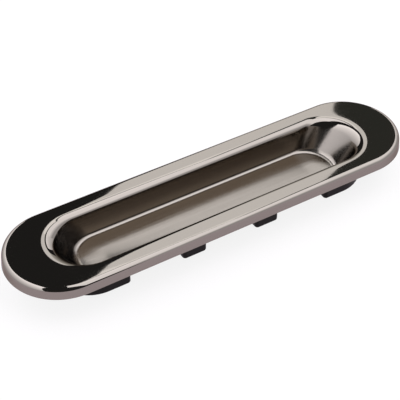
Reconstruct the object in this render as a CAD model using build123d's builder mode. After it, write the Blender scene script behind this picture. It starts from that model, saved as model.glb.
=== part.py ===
from build123d import *
import math
import os

# Recessed pull for a sliding door, all sizes in millimetres.
# The handle lies on its back as on a bench: the long axis is X, the finger cup opens towards +Z,
# and the origin is in the middle of the plane that the tongues stand on.

# Plate of the cover. The rim's side leans in by the draft, in degrees, so that the pressing leaves its die.
plate_length = 150.0
plate_width = 38.0
rim_height = 4.0
rim_radius = 1.6
rim_draft = 6.0
sheet = 0.6

# Finger cup pressed into the plate: its mouth stands in from the plate's outline by these widths
side_flange = 5.55
end_flange = 13.4
cup_depth = 11.0

# Section of the cup's long sides and of its two ends: the radius from the flange into the wall,
# the radius from the wall into the floor, and the slope of the wall in degrees from the floor
side_shoulder = 2.25
side_corner = 1.2
side_slope = 87.0
end_shoulder = 6.0
end_corner = 3.0
end_slope = 54.0

# Sections that the cup's skin is drawn through
cup_sections = 20

# Clearance between the backing and the cover
fit_gap = 0.1

# Ring of the backing, under the flange: a web with a skirt, and ribs across its hollow underside
web = 1.3
skirt_wall = 1.4
rib = 1.0
rib_pitch = 14.0

# Tongues of the backing, below the face of the door. Their outline, the neck, fits the pocket routed
# in the door and stands in from the cup's mouth by the first two sizes.
neck_side_inset = 0.15
neck_end_inset = 2.1
tongue_reach = 9.8
tongue_wall = 2.6
tongue_edge = 1.2
tongue_tip = 0.8
middle_tongue_width = 9.0
middle_tongue_offset = 14.2
end_tongue_straight = 8.0
end_tongue_sweep = 52.0

# Heights above the plane that the tongues stand on
door_face = tongue_reach
flange_top = door_face + rim_height

# Mouth of the cup where the flat flange ends, and outline of the neck
cup_length = plate_length - 2 * end_flange
cup_width = plate_width - 2 * side_flange
neck_length = cup_length - 2 * neck_end_inset
neck_width = cup_width - 2 * neck_side_inset


def plate_form(skin):
    """Block under the plate's outer skin: a stadium whose side leans in and rolls over, `skin` inside the face."""
    with BuildPart() as form:
        with BuildSketch(Plane.XY.offset(door_face)):
            SlotOverall(plate_length - 2 * skin, plate_width - 2 * skin)
        extrude(amount=rim_height - skin, taper=rim_draft)
        upper_edge = form.faces().sort_by(Axis.Z)[-1].edges()
        fillet(upper_edge, rim_radius - skin)
    return form.part


def inset(depth, skin, shoulder, corner, slope):
    """How far the cup's wall stands in from the flat flange at a depth, for the surface `skin` under the face."""
    tilt = math.radians(slope)
    upper = shoulder - skin
    lower = corner + skin
    wall_start = shoulder - upper * math.cos(tilt)
    wall_end = cup_depth - corner + lower * math.cos(tilt)
    wall_run = (cup_depth - (shoulder + corner) * (1 - math.cos(tilt))) / math.tan(tilt)
    floor_edge = (shoulder + corner) * math.sin(tilt) + wall_run
    if depth <= wall_start:
        return math.sqrt(max(upper**2 - (shoulder - depth) ** 2, 0.0))
    if depth >= wall_end:
        return floor_edge - math.sqrt(max(lower**2 - (depth - cup_depth + corner) ** 2, 0.0))
    return upper * math.sin(tilt) + (depth - wall_start) / math.tan(tilt)


def cup_form(skin):
    """Block that fills the cup, `skin` larger than its face: stadium sections that shrink with depth."""
    with BuildPart() as form:
        for k in range(cup_sections + 1):
            share = (1 - math.cos(math.pi * k / cup_sections)) / 2
            depth = skin + cup_depth * share
            end_inset = inset(depth, skin, end_shoulder, end_corner, end_slope)
            side_inset = inset(depth, skin, side_shoulder, side_corner, side_slope)
            with BuildSketch(Plane.XY.offset(flange_top - depth)):
                SlotOverall(cup_length - 2 * end_inset, cup_width - 2 * side_inset)
        loft()
    return form.part


# Cover: one pressing, the same thickness all over
cup_outside = cup_form(sheet)

with BuildPart() as flange_space:
    add(plate_form(sheet))
    add(cup_outside, mode=Mode.SUBTRACT)

with BuildPart() as cover:
    add(plate_form(0))
    add(cup_outside)
    add(cup_form(0), mode=Mode.SUBTRACT)
    add(flange_space.part, mode=Mode.SUBTRACT)
cover.part.label = "cover"

# Backing: the ring that fills the flange from below
backing_skin = sheet + fit_gap
hollow_inset = backing_skin + skirt_wall
hollow_depth = rim_height - backing_skin - web
rib_count = 2 * math.floor(plate_length / 2 / rib_pitch) + 1

# Plan of the tongues: the neck's outline is a stadium, and each tongue is a stretch of its wall
neck_centre = (neck_length - neck_width) / 2


def on_outer_side(corner):
    """True for a corner of a tongue's plan on the outer side of its wall, where the outline turns sharply."""
    beyond_centre = abs(corner.X) - neck_centre
    turns = round(beyond_centre, 3) != 0
    return turns and math.hypot(max(beyond_centre, 0), corner.Y) > (neck_width - tongue_wall) / 2


# Stretches of the neck's outline where a tongue stands: two on each side, and one round each shoulder of an end
end_tongue_start = neck_centre - end_tongue_straight
end_cut = math.radians(end_tongue_sweep)
end_cut_tip = (neck_centre + plate_width * math.sin(end_cut), plate_width * math.cos(end_cut))

with BuildSketch(Plane.XY.offset(door_face)) as tongue_windows:
    with BuildLine():
        Polyline(
            (end_tongue_start, 0),
            (neck_centre, 0),
            end_cut_tip,
            (end_tongue_start, plate_width),
            close=True,
        )
    make_face()
    mirror(about=Plane.XZ)
    with Locations((middle_tongue_offset, 0)):
        Rectangle(middle_tongue_width, 2 * plate_width)
    mirror(about=Plane.YZ)

with BuildPart() as backing:
    add(plate_form(backing_skin))
    with BuildSketch(Plane.XY.offset(door_face)):
        SlotOverall(plate_length - 2 * hollow_inset, plate_width - 2 * hollow_inset)
        SlotOverall(neck_length, neck_width, mode=Mode.SUBTRACT)
        with GridLocations(rib_pitch, 0, rib_count, 1):
            Rectangle(rib, plate_width, mode=Mode.SUBTRACT)
        Rectangle(plate_length, rib, mode=Mode.SUBTRACT)
    extrude(amount=hollow_depth, mode=Mode.SUBTRACT)
    with BuildSketch(Plane.XY.offset(door_face)) as tongue_plan:
        SlotOverall(neck_length, neck_width)
        SlotOverall(neck_length - 2 * tongue_wall, neck_width - 2 * tongue_wall, mode=Mode.SUBTRACT)
        add(tongue_windows.sketch, mode=Mode.INTERSECT)
        outer_corners = tongue_plan.vertices().filter_by(on_outer_side)
        fillet(outer_corners, tongue_edge)
    extrude(amount=-tongue_reach)
    tip_edges = backing.faces().group_by(Axis.Z)[0].edges()
    fillet(tip_edges, tongue_tip)
    add(cup_form(backing_skin), mode=Mode.SUBTRACT)
backing.part.label = "backing"

os.makedirs("parts", exist_ok=True)
export_step(cover.part, "parts/cover.step")
export_step(backing.part, "parts/backing.step")
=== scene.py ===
# %% [markdown]
# # A recessed pull handle for a sliding door
# The handle is a long plate with rounded ends and a finger cup pressed into it. The cover is one
# sheet-metal pressing, plated with black nickel and polished. Under its flange sits a black plastic
# backing, and the tongues of that backing hold the handle in its pocket in the door.
# A polished pressing has no colour of its own to speak of: what the eye sees is the room, bent by the
# radii of the sheet. So this lesson spends its effort on two things, the exact section of the sheet
# and the cards of the light tent that the sheet mirrors.

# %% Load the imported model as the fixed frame
import math

import bmesh
import bpy
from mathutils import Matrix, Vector


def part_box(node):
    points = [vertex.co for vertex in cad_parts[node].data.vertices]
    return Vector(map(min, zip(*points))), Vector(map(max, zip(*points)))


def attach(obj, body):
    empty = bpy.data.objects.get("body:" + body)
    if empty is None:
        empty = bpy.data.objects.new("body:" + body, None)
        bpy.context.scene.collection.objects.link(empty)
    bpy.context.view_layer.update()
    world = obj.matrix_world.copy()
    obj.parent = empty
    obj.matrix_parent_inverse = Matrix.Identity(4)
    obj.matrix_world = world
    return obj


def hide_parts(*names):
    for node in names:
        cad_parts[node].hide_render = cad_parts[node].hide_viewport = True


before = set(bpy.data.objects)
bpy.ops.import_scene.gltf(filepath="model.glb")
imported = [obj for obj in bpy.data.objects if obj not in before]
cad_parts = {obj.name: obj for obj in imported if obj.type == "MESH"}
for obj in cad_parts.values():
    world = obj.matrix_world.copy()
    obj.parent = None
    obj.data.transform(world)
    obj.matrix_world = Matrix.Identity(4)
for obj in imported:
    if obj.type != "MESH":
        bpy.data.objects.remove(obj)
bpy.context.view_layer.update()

# %% [markdown]
# ## Sizes
# A maker would read these sizes from a caliper: the plate, its rim, and the cup. The rim's side leans
# in by a few degrees, the draft, so that the pressing comes out of its die. The plate's outline comes
# from the loaded model, so the new pieces fit the frame that they stand for. Blender works in metres,
# and one name, MM, turns millimetres into them.

# %% Sizes of the pressing
MM = 0.001
cover_low, cover_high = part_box("cover")
plate_length = cover_high.x - cover_low.x
plate_width = cover_high.y - cover_low.y
flange_top = cover_high.z

sheet = 0.6 * MM
rim_height = 4.0 * MM
rim_radius = 1.6 * MM
rim_draft = math.radians(6)
cup_length = 123.2 * MM
cup_width = 26.9 * MM
cup_depth = 11.0 * MM
door_face = flange_top - rim_height
print("plate", round(plate_length / MM, 2), "x", round(plate_width / MM, 2), "mm")
print("flange at", round(flange_top / MM, 2), "mm")

# %% [markdown]
# ## Two helpers
# An operator acts on all that is selected. So before each new piece one helper leaves edit mode and
# clears the selection, and a second one names the piece that an operator has just added.


# %% Helpers for new pieces
def deselect_all():
    """Leaves edit mode, and nothing is selected."""
    if bpy.context.object and bpy.context.object.mode == "EDIT":
        bpy.ops.object.mode_set(mode="OBJECT")
    bpy.ops.object.select_all(action="DESELECT")


def name_piece(name):
    """Names the object that an operator has just made, and its mesh."""
    piece = bpy.context.object
    piece.name = name
    piece.data.name = name
    return piece


# %% [markdown]
# ## The section of the cup
# The press draws the cup with a punch whose long sides are steep and whose ends slope gently, so a
# finger can slide in. Seen in section, both are a shoulder radius, a straight wall and a corner radius
# into the floor; only their sizes differ. One function gives how far the wall stands in at each depth.


# %% How far the wall stands in at a depth
def inset_at(depth, shoulder, corner, slope):
    """Distance from the cup's mouth to its wall at this depth below the flange."""
    tilt = math.radians(slope)
    wall_start = shoulder * (1 - math.cos(tilt))
    wall_end = cup_depth - corner * (1 - math.cos(tilt))
    floor_edge = (shoulder + corner) * math.sin(tilt) + (wall_end - wall_start) / math.tan(tilt)
    if depth <= wall_start:
        return math.sqrt(max(shoulder**2 - (shoulder - depth) ** 2, 0.0))
    if depth >= wall_end:
        return floor_edge - math.sqrt(max(corner**2 - (depth - cup_depth + corner) ** 2, 0.0))
    return shoulder * math.sin(tilt) + (depth - wall_start) / math.tan(tilt)


# Radius of the shoulder, radius of the corner, and slope of the wall in degrees
side_section = (2.25 * MM, 1.2 * MM, 87.0)
end_section = (6.0 * MM, 3.0 * MM, 54.0)
for where, section in (("sides", side_section), ("ends", end_section)):
    print("the floor stands in by", round(inset_at(cup_depth, *section) / MM, 2), "mm at the", where)

# %% [markdown]
# ## The outlines that the sheet passes through
# Every level of the pressing is the same figure: two half circles joined by straights. The list that
# the next three cells lay out walks over the skin from the bottom of the rim, round the rolled edge,
# across the flange and down into the cup. Where a flat meets a radius, one more outline is laid just
# beside it, so the flat stays flat in the reflection.

# %% Outlines up the rim and round its roll
edge_steps = 20
beside = 0.08 * MM
crown = 0.013 * MM

flange_edge = flange_top - crown
lean = math.tan(rim_draft)
side_height = flange_edge - door_face - rim_radius * (1 - math.sin(rim_draft))
side_top = side_height - beside
roll_centre = side_height * lean + rim_radius * math.cos(rim_draft)

rim_levels = [(0.0, door_face), (side_top * lean, door_face + side_top)]
for step in range(edge_steps + 1):
    turn = rim_draft + (math.pi / 2 - rim_draft) * step / edge_steps
    drop = rim_radius * (1 - math.sin(turn))
    rim_levels.append((roll_centre - rim_radius * math.cos(turn), flange_edge - drop))

outlines = []
for inward, level in rim_levels:
    outlines.append((plate_length - 2 * inward, plate_width - 2 * inward, level))
print(len(outlines), "outlines for the rim, which rolls over", round(roll_centre / MM, 2), "mm")

# %% [markdown]
# No pressing is truly flat. Polishing leaves the flange a hundredth of a millimetre higher along its
# middle, the crown, and the punch pulls its inner edge down a little before the radius starts, the
# lead-in. Neither can be felt, but a mirror shows both.

# %% Outlines across the flange
flange_steps = 16
lead_in = 1.1 * MM
lead_drop = 0.022 * MM

flat_length = plate_length - 2 * roll_centre
flat_width = plate_width - 2 * roll_centre
for step in range(1, flange_steps + 1):
    across = step / flange_steps
    to_mouth = (1 - across) * (flat_width - cup_width) / 2
    drop = lead_drop * max(0.0, 1 - to_mouth / lead_in) ** 2
    rise = crown * (1 - (2 * across - 1) ** 2) - drop
    length = flat_length + (cup_length - flat_length) * across
    width = flat_width + (cup_width - flat_width) * across
    outlines.append((length, width, flange_edge + rise))
print("the flange is", round((plate_width - cup_width) / 2 / MM, 2), "mm wide beside the cup")

# %% [markdown]
# Down the cup, cosine steps put the levels close together where the skin turns, at both radii, which
# keeps the reflections free of ripples. The shoulder is joined at its second step, where it slopes
# about as much as the lead-in does. The floor sinks by a third of a millimetre from its edge to its
# middle, as a punched floor does, and this sink gives it its shading from dark to light.

# %% Outlines down the cup and over its floor
cup_steps = 96
mouth_drop = lead_drop + 0.006 * MM
floor_steps = 16
floor_dish = 0.34 * MM

for step in range(2, cup_steps + 1):
    depth = cup_depth * (1 - math.cos(math.pi * step / cup_steps)) / 2
    length = cup_length - 2 * inset_at(depth, *end_section)
    width = cup_width - 2 * inset_at(depth, *side_section)
    outlines.append((length, width, flange_edge - mouth_drop - depth))

floor_length, floor_width, floor_height = outlines[-1]
for step in range(1, floor_steps):
    inward = floor_width * step / floor_steps
    sink = floor_dish * (1 - math.cos(math.pi * step / floor_steps)) / 2
    outlines.append((floor_length - inward, floor_width - inward, floor_height - sink))
print(len(outlines), "outlines in all, the last one at", round(outlines[-1][2] / MM, 2), "mm")

# %% [markdown]
# ## Drawing the sheet
# A press starts from a flat blank and draws it down. Here a circle is set out at the rim, its two
# halves are slid apart to make the first outline, and the open edge is then extruded from outline to
# outline: scaled to the new half circle, slid apart again, and moved to its height.

# %% Lay the first outline
around = 128
half_step = math.pi / around

deselect_all()
bpy.ops.mesh.primitive_circle_add(vertices=around, radius=plate_width / 2, location=(0, 0, 0))
cover = name_piece("pressed_cover")
bpy.ops.object.mode_set(mode="EDIT")
# Turned by half a step, so that no corner lies on the line between the halves
bpy.ops.transform.rotate(value=half_step, orient_axis="Z", center_override=(0, 0, 0))
bpy.ops.transform.translate(value=(0, 0, door_face))


def slide_halves(distance):
    """Moves the right half of the selected ring to the right and the left half to the left."""
    skin = bmesh.from_edit_mesh(cover.data)
    ring = [v for v in skin.verts if v.select]
    for side in (1, -1):
        for v in ring:
            v.select = v.co.x * side > 0
        skin.select_flush_mode()
        bpy.ops.transform.translate(value=(side * distance, 0, 0))
    for v in ring:
        v.select = True
    skin.select_flush_mode()


bpy.ops.mesh.select_mode(type="VERT")
straight = (plate_length - plate_width) / 2
slide_halves(straight)
print("each half is slid out by", round(straight / MM, 2), "mm")

# %% Draw the sheet from outline to outline
half_width = plate_width / 2
height = door_face
for length, width, level in outlines[1:]:
    scale = width / 2 / half_width
    bpy.ops.mesh.extrude_region_move(TRANSFORM_OT_translate={"value": (0, 0, level - height)})
    bpy.ops.transform.resize(value=(scale, scale, 1), center_override=(0, 0, level))
    slide_halves((length - width) / 2 - straight * scale)
    half_width = width / 2
    straight = (length - width) / 2
    height = level
print("drawn down to", round((flange_top - height) / MM, 2), "mm below the flange")

# %% [markdown]
# ## Closing the floor and giving the sheet its thickness
# One face fills the narrow ring that is left open in the middle of the floor. The skin is drawn as a
# surface first, because one surface is simple to shape. Solidify then lays the sheet's thickness
# under it, even round the radii, as the blank's own thickness is.

# %% Fill the floor and set the thickness
weld_distance = 0.00001 * MM
sharp_from = math.radians(35)

bpy.ops.mesh.edge_face_add()
bpy.ops.mesh.select_all(action="SELECT")
bpy.ops.mesh.remove_doubles(threshold=weld_distance)
bpy.ops.mesh.normals_make_consistent(inside=False)
bpy.ops.object.mode_set(mode="OBJECT")
print("skin:", len(cover.data.polygons), "faces")

thickness = cover.modifiers.new("sheet", "SOLIDIFY")
thickness.thickness = sheet
thickness.offset = -1
thickness.use_even_offset = True
bpy.ops.object.modifier_apply(modifier=thickness.name)
bpy.ops.object.shade_smooth_by_angle(angle=sharp_from)
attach(cover, "root")
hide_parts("cover")
print("cover:", len(cover.data.polygons), "faces")


# %% [markdown]
# ## Colours and nodes
# Colours are written the way a picture editor shows them, as sRGB hex values, and one function turns
# them into the linear values that a shader works with. A second one adds a node with its settings and
# its links.


# %% Two functions that every material uses
def linear(hex_colour):
    """sRGB hex to linear red, green, blue and alpha."""
    channels = [int(hex_colour[i : i + 2], 16) / 255 for i in (1, 3, 5)]
    return (*[c / 12.92 if c <= 0.04045 else ((c + 0.055) / 1.055) ** 2.4 for c in channels], 1.0)


def add_node(tree, kind, settings=None, links=None):
    """Adds a node. Settings name its properties or its sockets; links give sockets their sources."""
    node = tree.nodes.new(kind)
    for key, value in (settings or {}).items():
        if isinstance(key, str) and hasattr(node, key):
            setattr(node, key, value)
        else:
            node.inputs[key].default_value = value
    for key, source in (links or {}).items():
        tree.links.new(source, node.inputs[key])
    return node


def new_material(name):
    """An empty node material and its output node."""
    material = bpy.data.materials.new(name)
    material.use_nodes = True
    material.node_tree.nodes.clear()
    output = add_node(material.node_tree, "ShaderNodeOutputMaterial")
    return material, material.node_tree, output


# %% [markdown]
# ## Polished black nickel
# Black nickel is a thin plated layer over a bright undercoat. It is a mirror that gives back about a
# quarter of the light, a little warmer than grey. Its look changes over the pressing, so the nodes
# first find out where a point of the sheet lies: how deep below the flange, whether in the cup, and
# how steep. All of it comes from the point's place and from the way that the sheet faces there, so
# nothing has to be painted or unwrapped.

# %% How deep a point lies, and how it faces
black_nickel, tree, output = new_material("polished_black_nickel")
fade_top = flange_top - 0.6 * MM
fade_bottom = flange_top - 4.0 * MM

texture_place = add_node(tree, "ShaderNodeTexCoord")
place = texture_place.outputs["Object"]
axes = add_node(tree, "ShaderNodeSeparateXYZ", links={"Vector": place})
facing = add_node(
    tree,
    "ShaderNodeSeparateXYZ",
    links={"Vector": texture_place.outputs["Normal"]},
)
depth_share = add_node(
    tree,
    "ShaderNodeMapRange",
    {"interpolation_type": "SMOOTHSTEP", "From Min": fade_top, "From Max": fade_bottom},
    {"Value": axes.outputs["Z"]},
)
print("from polished to satin between", round(fade_top / MM, 2), "and", round(fade_bottom / MM, 2), "mm")

# %% [markdown]
# The cup and the rim have steep sheet at the same heights, so a second measure tells them apart: how
# far a point lies from the straight line between the centres of the two half circles. The change is
# made over on the flange, where it can't be seen.

# %% Whether a point lies in the cup
cup_within = 15.0 * MM
rim_beyond = 16.0 * MM

past_centre = add_node(
    tree,
    "ShaderNodeMath",
    {"operation": "ABSOLUTE"},
    {0: axes.outputs["X"]},
)
past_straight = add_node(
    tree,
    "ShaderNodeMath",
    {"operation": "SUBTRACT", "use_clamp": True, 1: (plate_length - plate_width) / 2},
    {0: past_centre.outputs[0]},
)
outward = add_node(
    tree,
    "ShaderNodeCombineXYZ",
    links={"X": past_straight.outputs[0], "Y": axes.outputs["Y"]},
)
from_line = add_node(
    tree,
    "ShaderNodeVectorMath",
    {"operation": "LENGTH"},
    {0: outward.outputs["Vector"]},
)
in_cup = add_node(
    tree,
    "ShaderNodeMapRange",
    {"From Min": rim_beyond, "From Max": cup_within},
    {"Value": from_line.outputs["Value"]},
)
print("the cup's finish reaches", round(cup_within / MM, 2), "mm from the middle line")

# %% [markdown]
# ### Colour of the plating, and painted shade in the cup
# On the steep sides of the cup the colour is darker and browner: this is painted shade of the recess.
# Every metal also turns brighter where it is seen at a low angle. Specular Tint is the colour of that
# brightening: light grey on the polished sheet, and dark deep in the cup, which paints shade into the
# cup's reflections.

# %% Colour of the plating, and painted shade in the cup
steep_full, steep_start = 0.05, 0.28

upright = add_node(
    tree,
    "ShaderNodeMapRange",
    {"interpolation_type": "SMOOTHSTEP", "From Min": steep_start, "From Max": steep_full},
    {"Value": facing.outputs["Z"]},
)
# Painted shade: the steep walls of the cup get a darker, browner colour than the plating's own grey.
painted_wall_shade = add_node(
    tree,
    "ShaderNodeMath",
    {"operation": "MULTIPLY"},
    {0: in_cup.outputs["Result"], 1: upright.outputs["Result"]},
)
plating = add_node(
    tree,
    "ShaderNodeMix",
    {"data_type": "RGBA", 6: linear("#8c8781"), 7: linear("#7a7064")},
    {0: painted_wall_shade.outputs[0]},
)
# Painted shade: deep in the cup the Specular Tint turns dark, which darkens the cup's reflections.
painted_depth_shade_mask = add_node(
    tree,
    "ShaderNodeMath",
    {"operation": "MULTIPLY"},
    {0: in_cup.outputs["Result"], 1: depth_share.outputs["Result"]},
)
glancing_tint_and_painted_shade = add_node(
    tree,
    "ShaderNodeMix",
    {"data_type": "RGBA", 6: linear("#bfbbb6"), 7: linear("#453f38")},
    {0: painted_depth_shade_mask.outputs[0]},
)
print("plating in linear light:", [round(c, 3) for c in linear("#8c8781")[:3]])

# %% [markdown]
# ### Gloss and strokes
# The flange is polished bright, and the buff reaches less and less of the cup, so the gloss fades
# into satin from the mouth down to the floor. The satin was brushed along the handle, so its strokes
# run that way, a little deeper and shallower, and the sloping walls come out slightly rougher than
# the level floor.

# %% Gloss from the flange down to the floor
polished, brushed = 0.04, 0.18
stroke_length, stroke_width = 30 * MM, 0.5 * MM

satin = add_node(
    tree,
    "ShaderNodeMapRange",
    {"To Min": polished, "To Max": brushed},
    {"Value": depth_share.outputs["Result"]},
)
along = add_node(
    tree,
    "ShaderNodeMapping",
    {"Scale": (1 / stroke_length, 1 / stroke_width, 1 / stroke_width)},
    {"Vector": place},
)
strokes = add_node(
    tree,
    "ShaderNodeTexNoise",
    {"Scale": 1.0, "Detail": 2.0},
    {"Vector": along.outputs["Vector"]},
)
stroke_depth = add_node(
    tree,
    "ShaderNodeMapRange",
    {"From Min": 0.3, "From Max": 0.7, "To Min": 0.75, "To Max": 1.25},
    {"Value": strokes.outputs["Fac"]},
)
slope_share = add_node(
    tree,
    "ShaderNodeMapRange",
    {
        "interpolation_type": "SMOOTHSTEP",
        "From Min": 0.80,
        "From Max": 0.98,
        "To Min": 1.15,
        "To Max": 1.0,
    },
    {"Value": facing.outputs["Z"]},
)
sloped_satin = add_node(
    tree,
    "ShaderNodeMath",
    {"operation": "MULTIPLY"},
    {0: satin.outputs["Result"], 1: slope_share.outputs["Result"]},
)
worn = add_node(
    tree,
    "ShaderNodeMath",
    {"operation": "MULTIPLY"},
    {0: sloped_satin.outputs[0], 1: stroke_depth.outputs["Result"]},
)
print("roughness from", polished, "to", brushed)

# %% [markdown]
# ### Ripple
# Polishing leaves a very slow ripple, which bends the edges of the reflections slightly. With it the
# material is complete and goes onto the cover.

# %% Ripple, and the finished black nickel
ripple_length, ripple_height = 11 * MM, 0.012 * MM

wave = add_node(
    tree,
    "ShaderNodeTexNoise",
    {"Scale": 1 / ripple_length, "Detail": 0.0},
    {"Vector": place},
)
ripple = add_node(
    tree,
    "ShaderNodeBump",
    {"Strength": 1.0, "Distance": ripple_height},
    {"Height": wave.outputs["Fac"]},
)
metal = add_node(
    tree,
    "ShaderNodeBsdfPrincipled",
    {"Metallic": 1.0},
    {
        "Base Color": plating.outputs[2],
        "Specular Tint": glancing_tint_and_painted_shade.outputs[2],
        "Roughness": worn.outputs[0],
        "Normal": ripple.outputs["Normal"],
    },
)
tree.links.new(metal.outputs["BSDF"], output.inputs["Surface"])
cover.data.materials.append(black_nickel)
print(black_nickel.name, "with", len(tree.nodes), "nodes")

# %% [markdown]
# ## Moulded black plastic
# The backing is an injection moulding in black ABS. Its mould was spark-eroded, which leaves a fine
# even grain and a dull sheen.

# %% Black ABS
black_abs, tree, output = new_material("moulded_black_abs")
grain_size, grain_depth = 0.5 * MM, 0.02 * MM

place = add_node(tree, "ShaderNodeTexCoord").outputs["Object"]
grain = add_node(
    tree,
    "ShaderNodeTexNoise",
    {"Scale": 1 / grain_size, "Detail": 3.0},
    {"Vector": place},
)
bump = add_node(
    tree,
    "ShaderNodeBump",
    {"Strength": 0.15, "Distance": grain_depth},
    {"Height": grain.outputs["Fac"]},
)
shine = add_node(
    tree,
    "ShaderNodeMapRange",
    {"To Min": 0.34, "To Max": 0.48},
    {"Value": grain.outputs["Fac"]},
)
plastic = add_node(
    tree,
    "ShaderNodeBsdfPrincipled",
    {"Base Color": linear("#0c0c0c"), "IOR": 1.53, "Specular IOR Level": 0.12},
    {"Roughness": shine.outputs["Result"], "Normal": bump.outputs["Normal"]},
)
tree.links.new(plastic.outputs["BSDF"], output.inputs["Surface"])
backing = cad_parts["backing"]
backing.data.materials.clear()
backing.data.materials.append(black_abs)
print(black_abs.name, "on", backing.name)

# %% [markdown]
# ## The camera
# The photograph looks down at the handle from the front left, from rather near: the near end is
# clearly larger than the far end. The numbers below were fitted to the outline of the plate and to
# the mouth and the floor of the cup.

# %% Camera
view_turn = math.radians(31.527)
view_height = math.radians(41.715)
distance = 387.548 * MM
aim = Vector((-6.805 * MM, -3.894 * MM, flange_top))
level_part = math.cos(view_height)
back = Vector(
    (
        -math.sin(view_turn) * level_part,
        -math.cos(view_turn) * level_part,
        math.sin(view_height),
    )
)

deselect_all()
bpy.ops.object.camera_add(
    location=aim + back * distance,
    rotation=(math.pi / 2 - view_height, 0, -view_turn),
)
camera = bpy.context.object
camera.name = "camera"
camera.data.sensor_width = 36.0
camera.data.lens = 105.98
camera.data.clip_start = 0.01
bpy.context.scene.camera = camera
print("camera at mm", [round(v / MM, 1) for v in camera.location])

# %% [markdown]
# ## The light tent
# Polished metal is photographed in a tent of white cards with dark gaps between them, so that light
# and dark follow each other in the reflections. The places of the cards are given as a photographer
# would step them out: to the right of the camera's line of sight, away from the camera, and up.

# %% Places in the studio
turn_sine, turn_cosine = math.sin(view_turn), math.cos(view_turn)


def studio_place(right, away, up):
    """A point of the scene from its distances to the right, away from the camera, and up."""
    x = right * turn_cosine + away * turn_sine
    y = away * turn_cosine - right * turn_sine
    return Vector((x, y, up))


print("one metre away from the camera:", [round(v, 3) for v in studio_place(0, 1, 0)])

# %% [markdown]
# ## The cloth of the cards
# A card is white cloth with a lamp behind it. It glows evenly, or more at its top than at its foot,
# where the lamp hangs above it.


# %% Cloth lit from behind
def lit_cloth(colour, foot, top):
    """White cloth that glows. `foot` and `top` are pairs of a height and the strength there."""
    material, tree, output = new_material("lit_white_cloth")
    place = add_node(tree, "ShaderNodeTexCoord").outputs["Object"]
    axes = add_node(tree, "ShaderNodeSeparateXYZ", links={"Vector": place})
    strength = add_node(
        tree,
        "ShaderNodeMapRange",
        {"From Min": foot[0], "From Max": top[0], "To Min": foot[1], "To Max": top[1]},
        {"Value": axes.outputs["Z"]},
    )
    glow = add_node(
        tree,
        "ShaderNodeEmission",
        {"Color": linear(colour)},
        {"Strength": strength.outputs["Result"]},
    )
    tree.links.new(glow.outputs["Emission"], output.inputs["Surface"])
    return material


# %% [markdown]
# ## The cards
# For each card a grid is placed and pulled to the card's four corners. The cards are seen in the
# metal but not by the camera, so the handle can be looked at from every side.


# %% A card between four corners
def add_card(name, colour, corners, foot, top):
    """A card of lit cloth. `foot` and `top` are pairs of a height and the strength there."""
    deselect_all()
    bpy.ops.mesh.primitive_grid_add(
        x_subdivisions=24, y_subdivisions=12, size=2, location=(0, 0, 0)
    )
    card = name_piece(name)
    first, second, third, fourth = [studio_place(*corner) for corner in corners]
    for v in card.data.vertices:
        along, down = (v.co.x + 1) / 2, (v.co.y + 1) / 2
        v.co = first.lerp(second, along).lerp(fourth.lerp(third, along), down)
    card.data.materials.append(lit_cloth(colour, foot, top))
    card.visible_camera = False
    print(name, "strength", foot[1], "at", foot[0], "m and", top[1], "at", top[0], "m")


# %% [markdown]
# ## Cards behind the handle
# The level flange mirrors the strip, which hangs over the table behind the handle, and the ends of
# the flange mirror the dark room past the strip's edges. The near part of the strip is brighter, for
# sheet that leans a little towards the camera, such as the far lead-in of the cup. The back card
# hangs from the strip's far edge to the table, for sheet that leans away.

# %% Strip and back
tent_top = 0.6
strip_far_right = (0.187, 1.22, tent_top)
strip_far_left = (-0.110, 1.22, tent_top)
strip_near_right = (0.131, 0.53, tent_top)
strip_near_left = (-0.099, 0.53, tent_top)

add_card(
    "card_strip",
    "#fefdfe",
    [strip_far_right, strip_near_right, strip_near_left, strip_far_left],
    (0.0, 1.93),
    (tent_top, 1.93),
)
add_card(
    "card_strip_near",
    "#fefdfe",
    [strip_near_right, (0.176, 0.215, tent_top), (-0.099, 0.45, tent_top), strip_near_left],
    (0.0, 2.5),
    (tent_top, 2.5),
)
add_card(
    "card_back",
    "#fffdf8",
    [strip_far_right, strip_far_left, (-0.110, 1.22, 0.0), (0.187, 1.22, 0.0)],
    (0.0, 0.2),
    (tent_top, 1.3),
)

# %% [markdown]
# ## Cards over and before the handle
# The ceiling and the front card light what leans towards the camera: the near half of the rolled
# edge and the far shoulder of the cup. Steeper sheet doesn't mirror them: the rim's side shows the
# table, and the walls of the cup show its floor.

# %% Ceiling and front
ceiling_near_right = (0.235, -0.02, tent_top)
ceiling_near_left = (-0.012, -0.10, tent_top)
front_foot_right = (0.53, -0.50, 0.0)

add_card(
    "card_ceiling",
    "#fdfbff",
    [(0.222, 0.165, tent_top), (-0.11, 0.375, tent_top), ceiling_near_left, ceiling_near_right],
    (0.0, 2.7),
    (tent_top, 2.7),
)
add_card(
    "card_front",
    "#fdfbff",
    [ceiling_near_right, ceiling_near_left, (0.33, -0.42, 0.58), front_foot_right],
    (0.18, 0.95),
    (0.36, 2.5),
)

# %% [markdown]
# ## Cards on the right
# Two cards close the right side. They light what turns to the right: the rolled edge round the
# handle's right end, and the shoulder at the left end of the cup.

# %% Right side
side_middle = (0.205, 0.42, tent_top)
side_middle_foot = (0.45, 0.40, 0.0)

add_card(
    "card_right",
    "#fdfbff",
    [side_middle, ceiling_near_right, front_foot_right, side_middle_foot],
    (0.18, 0.95),
    (0.36, 2.5),
)
add_card(
    "card_right_far",
    "#fdfbff",
    [(0.33, 1.20, tent_top), side_middle, side_middle_foot, (0.42, 1.20, 0.0)],
    (0.0, 1.1),
    (tent_top, 2.7),
)

# %% [markdown]
# ## The dark gap, and the card on the left
# Between the strip and the ceiling a narrow gap is left open, with a nearly black card just above it:
# it draws the thin dark line round the cup's mouth. The left card lights what turns to the left: the
# sloping right end of the cup, and the rolled edge round the handle's left end.

# %% Gap and left side
gap_height = 0.64

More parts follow.
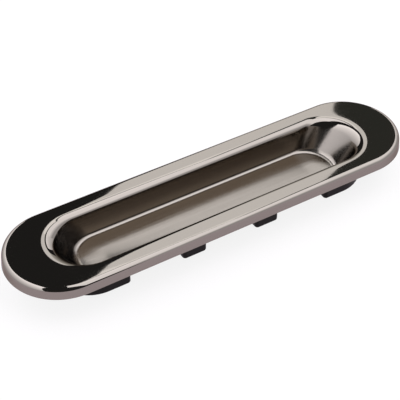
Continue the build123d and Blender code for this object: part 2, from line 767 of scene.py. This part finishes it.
add_card(
    "card_gap",
    "#eef4ea",
    [
        (0.34, 1.24, gap_height),
        (0.30, 0.05, gap_height),
        (0.10, 0.05, gap_height),
        (0.12, 1.24, gap_height),
    ],
    (0.0, 0.09),
    (tent_top, 0.09),
)
add_card(
    "card_left",
    "#fcfaff",
    [(-0.24, 0.60, tent_top), (-0.20, -0.06, tent_top), (-0.38, -0.80, 0.0), (-0.38, 0.80, 0.0)],
    (0.0, 0.9),
    (tent_top, 3.4),
)

# %% [markdown]
# ## The floor
# The handle lies on a pale table. To the camera, and in reflections, most of the table's white comes
# from the table itself; the rest is lit by the cards, and that part keeps the shadow of the handle.
# In reflections its white is very slightly mauve, because the rim of the real handle, which mirrors
# the table, looks so.

# %% Table top
table_radius = 1.5
deselect_all()
bpy.ops.mesh.primitive_circle_add(
    vertices=96, radius=table_radius, fill_type="NGON", location=(0, 0, 0)
)
floor = name_piece("table")

# %% Pale matt table
own_share = 0.85
table_white, tree, output = new_material("pale_table")
paths = add_node(tree, "ShaderNodeLightPath")
direct = add_node(
    tree,
    "ShaderNodeMath",
    {"operation": "MAXIMUM"},
    {0: paths.outputs["Is Camera Ray"], 1: paths.outputs["Is Glossy Ray"]},
)
seen = add_node(
    tree,
    "ShaderNodeMath",
    {"operation": "MAXIMUM"},
    {0: direct.outputs[0], 1: paths.outputs["Is Transmission Ray"]},
)
share = add_node(
    tree,
    "ShaderNodeMath",
    {"operation": "MULTIPLY", 1: own_share},
    {0: seen.outputs[0]},
)
matt = add_node(tree, "ShaderNodeBsdfDiffuse", {"Color": linear("#f4eff4")})
seen_tint = add_node(
    tree,
    "ShaderNodeMix",
    {"data_type": "RGBA", 6: linear("#ffffff"), 7: linear("#f7e9f2")},
    {0: paths.outputs["Is Glossy Ray"]},
)
glow = add_node(
    tree,
    "ShaderNodeEmission",
    {"Strength": 1.0},
    {"Color": seen_tint.outputs[2]},
)
mixed = add_node(
    tree,
    "ShaderNodeMixShader",
    links={0: share.outputs[0], 1: matt.outputs["BSDF"], 2: glow.outputs["Emission"]},
)
tree.links.new(mixed.outputs["Shader"], output.inputs["Surface"])
floor.data.materials.append(table_white)
print(floor.name, "with a radius of", table_radius, "m")

# %% [markdown]
# ## The room
# Past the cards the room is nearly dark. This faint light is what the dark ends of the flange mirror.

# %% World
room_light = 0.04
world = bpy.data.worlds.new("dark_room")
bpy.context.scene.world = world
world.use_nodes = True
room = world.node_tree.nodes["Background"]
room.inputs["Color"].default_value = linear("#ffffff")
room.inputs["Strength"].default_value = room_light
print("the room's light:", room_light)

# %% [markdown]
# ## Last settings
# Standard shows colours as they are written.

# %% View transform and sizes
bpy.context.scene.view_settings.view_transform = "Standard"
